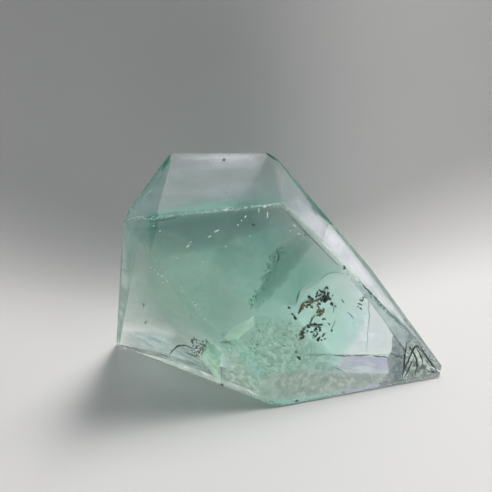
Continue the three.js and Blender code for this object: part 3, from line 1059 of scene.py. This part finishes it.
OCHRE_STROKES = [
    ([(321.2, 297.6), (318.6, 299.4), (315.8, 300.8)], 2.0),
    ([(315.8, 300.8), (312, 302.2), (308, 301.6), (304.4, 302.8)], 2.4),
    ([(304.4, 302.8), (301.8, 305.4), (300.4, 309.6), (298.6, 313)], 2.0),
    ([(303.6, 305.6), (302.2, 309.6)], 1.2), ([(318.4, 302.6), (318, 306.6), (319.2, 309.6)], 1.0),
    ([(316.8, 313.4), (319, 311.4), (322.4, 310.8)], 2.8),
    ([(317.4, 315.4), (320.4, 314.2), (323.6, 312.4)], 2.0),
    ([(314.6, 315.4), (311.8, 319.8), (310.2, 323.2)], 1.2),
    ([(302.6, 329.2), (300.2, 333.6), (299.8, 336.4)], 1.3), ([(312.4, 325.4), (314, 325.8)], 1.4),
    ([(324.8, 318.4), (325.6, 320)], 1.0), ([(342.4, 392.4), (344.2, 392.6)], 1.6),
]
WHITE_STROKES = [
    ([(317.4, 329.6), (318.4, 330.6)], 1.8), ([(316, 305), (317.4, 306)], 1.3),
    ([(306.6, 332), (307.6, 333)], 1.2),
]
INCLUSION_SHARE = 0.2
# Each thread: its picture points, its width and, where it isn't the usual one, its share of the depth.
DARK_THREADS = [
    ([(169, 355), (175, 348), (180, 345.5), (188, 346), (193, 350)], 1.7, 0.04),
    ([(185, 352), (192, 355), (198, 357.5)], 1.5, 0.04),
    ([(192, 343), (194, 338), (197, 340)], 1.0, 0.04), ([(222, 341.5), (227, 341.5), (233, 345)], 1.2),
    ([(318.5, 300), (318, 306), (320.5, 309)], 1.0, 0.28),
    ([(312, 317), (310.5, 323), (306, 326.7)], 1.1, 0.28), ([(341.4, 299), (344.3, 303.2)], 0.9, 0.2),
    ([(347.5, 312.5), (354.5, 318.4)], 0.9, 0.2),
    ([(368, 297), (369.5, 315), (368, 330), (366.5, 352)], 0.55, 0.2),
    ([(335, 303), (333, 313)], 0.6, 0.2), ([(335.5, 320), (331, 331)], 0.6, 0.2),
    ([(303, 355), (320, 355), (336, 355.5)], 0.5, 0.3),
    ([(334, 355.5), (342, 356), (352, 355.5)], 1.1, 0.3),
    ([(352, 355.5), (362, 355.5), (371, 355)], 1.0, 0.3), ([(390, 353), (397, 356), (404, 359.5)], 1.0),
    ([(403, 372), (408, 362), (412, 352), (417, 346), (422, 352)], 2.0, 0.08),
    ([(403, 345), (405, 365)], 0.9), ([(407, 334), (405.5, 350), (403.5, 370), (402, 381)], 1.4),
    ([(408, 346), (414, 354), (417, 364), (415, 376)], 1.7, 0.08),
    ([(420, 346), (426, 356), (432, 364), (437, 371)], 1.6, 0.08),
    ([(416, 347), (421, 356), (424, 368)], 1.4, 0.08), ([(404, 378), (410, 366), (414, 358)], 1.5, 0.08),
    ([(424, 368), (430, 372), (438, 372)], 1.2, 0.08), ([(312, 205), (316, 215)], 0.8),
    ([(318, 220), (322, 224)], 0.9), ([(345, 265), (344, 270)], 1.4, 0.03),
    ([(356, 276), (366, 289), (373, 297)], 0.8, 0.03), ([(364, 295), (366, 297), (372, 297)], 1.5),
    ([(221, 382), (222, 390)], 1.5),
]
TEAL_THREADS = [
    ([(305, 286.5), (313, 283), (322, 278), (329, 273), (338, 272.5), (345, 274.5)], 0.45, 0.25),
    ([(286, 211), (310, 237), (341, 268)], 0.8), ([(150, 221.5), (165, 219.5), (180, 216.5)], 0.8),
    ([(276, 250), (279, 256), (277, 263)], 1.2, 0.3), ([(250, 316), (240, 324), (228, 334)], 0.7, 0.2),
    ([(330, 366), (338, 369), (346, 374), (348, 380)], 0.7, 0.2),
    ([(318, 372), (330, 376), (340, 382)], 0.6, 0.2), ([(372, 356), (380, 356.5), (389, 357)], 1.2, 0.3),
]
# Pale threads: real pale cracks, and along the top, right and foot edges painted highlight lines.
PALE_THREADS = [
    ([(297.5, 296), (301, 290.5), (306, 288.3), (314, 285), (323, 279.8), (330, 275)], 0.6, 0.2),
    ([(199, 357), (205, 364), (222, 386)], 1.0), ([(219, 362), (221, 384)], 0.8),
    ([(242, 360), (252, 380), (262, 399)], 0.8, 0.2), ([(235, 350), (252, 377)], 0.7, 0.2),
    ([(240, 375), (256, 378)], 0.8, 0.2), ([(245, 388), (262, 399)], 0.9, 0.2),
    ([(250, 387), (264, 395)], 0.7, 0.2), ([(130, 331), (150, 337), (170, 345)], 0.8),
    ([(140, 335), (160, 341), (180, 350)], 0.8), ([(138, 348), (160, 355), (198, 371)], 1.0),
    ([(123, 341), (150, 349), (176, 359)], 0.7), ([(122, 218), (140, 217), (145, 219)], 1.1, 0.03),
    ([(180, 214.5), (215, 211.5), (250, 207.5)], 0.7, 0.03),
    ([(250, 207.5), (270, 205), (283, 203)], 0.9, 0.03),
    ([(287, 207), (312, 232), (343, 264), (371, 293)], 0.8, 0.03), ([(148, 192), (152, 191)], 0.7),
    ([(176, 170), (180, 169.5)], 0.7), ([(279, 405), (320, 398.5), (360, 391)], 0.9),
    ([(360, 391), (400, 383.5), (434, 376)], 0.7),
    ([(124, 347), (180, 367), (240, 389), (274, 403)], 0.8),
    ([(406, 340), (411, 346), (409, 356), (405, 368)], 0.8),
    ([(418, 350), (413, 360), (410, 372)], 0.8, 0.12),
]
CLUSTER = [(191, 339), (200, 340), (208, 340), (207, 348), (199, 358), (189, 351)]
TIP_LEFT = [(406, 346), (414, 350), (414, 378), (403, 380)]
TIP_CRACK = [(407, 334), (418, 346), (432, 362), (434, 372), (418, 377), (403, 379), (404, 356)]
# Each bed of loose grains: outline, count, sizes and shares of the depth.
DARK_BEDS = [(CLUSTER, 80, (0.8, 2.0), (0.03, 0.07)), (TIP_CRACK, 22, (0.5, 1.2), (0.1, 0.2))]
WHITE_BEDS = [(CLUSTER, 14, (0.6, 1.4), (0.03, 0.06)), (TIP_LEFT, 26, (0.6, 1.5), (0.1, 0.2))]
ORE_BASE, ORE_ROUGHNESS = (0.1, 0.08, 0.08), 0.4
ORE_DARK, ORE_LIGHT, ORE_NOISE = (0.02, 0.015, 0.018), (0.42, 0.36, 0.38), 2600


def make_inclusions():
    dark, ochre, white = bmesh.new(), bmesh.new(), bmesh.new()
    for bm, strokes in ((dark, DARK_STROKES), (ochre, OCHRE_STROKES), (white, WHITE_STROKES)):
        for spots, width in strokes:
            add_crust(bm, spots, INCLUSION_SHARE, width)
    for bm, beds in ((dark, DARK_BEDS), (white, WHITE_BEDS)):
        for bed in beds:
            strew(bm, *bed)
    ore = principled("dark_ore", ORE_BASE, ORE_ROUGHNESS)
    add_piece("dark_grains", dark, mottle(ore, ORE_DARK, ORE_LIGHT, ORE_NOISE))
    add_piece("ochre_grains", ochre, flake_look("ochre"))
    add_piece("white_grains", white, flake_look("white_grain"))


# Each set of threads: its picture points, its dark colour, and how much painted light it gives off, a
# glow standing in for the light it catches.
THREADS = {
    "dark_cracks": (DARK_THREADS, (0.04, 0.05, 0.05), 0.0),
    "teal_cracks": (TEAL_THREADS, (0.1, 0.24, 0.2), 0.0),
    "pale_cracks_and_painted_highlights": (PALE_THREADS, (0.6, 0.72, 0.7), 0.12),
}
THREAD_NOISE = 1500
THREAD_LIGHTER = 1.6  # the light colour over the dark one
THREAD_LEAST_LIGHT = 0.03


def make_threads():
    for name, (threads, colour, painted_glow) in THREADS.items():
        bm = bmesh.new()
        for thread in threads:
            add_thread(bm, *thread)
        light = [min(1, part * THREAD_LIGHTER + THREAD_LEAST_LIGHT) for part in colour]
        add_piece(name, bm, flake_material(name + "_look", colour, light, THREAD_NOISE, painted_glow))


make_camera()
make_stage()
make_light()
dress_crystal()
make_green_zone()
make_shades()
make_sparkles()
make_bruises()
make_grains()
make_veils()
make_heel_veil()
make_inclusions()
make_threads()
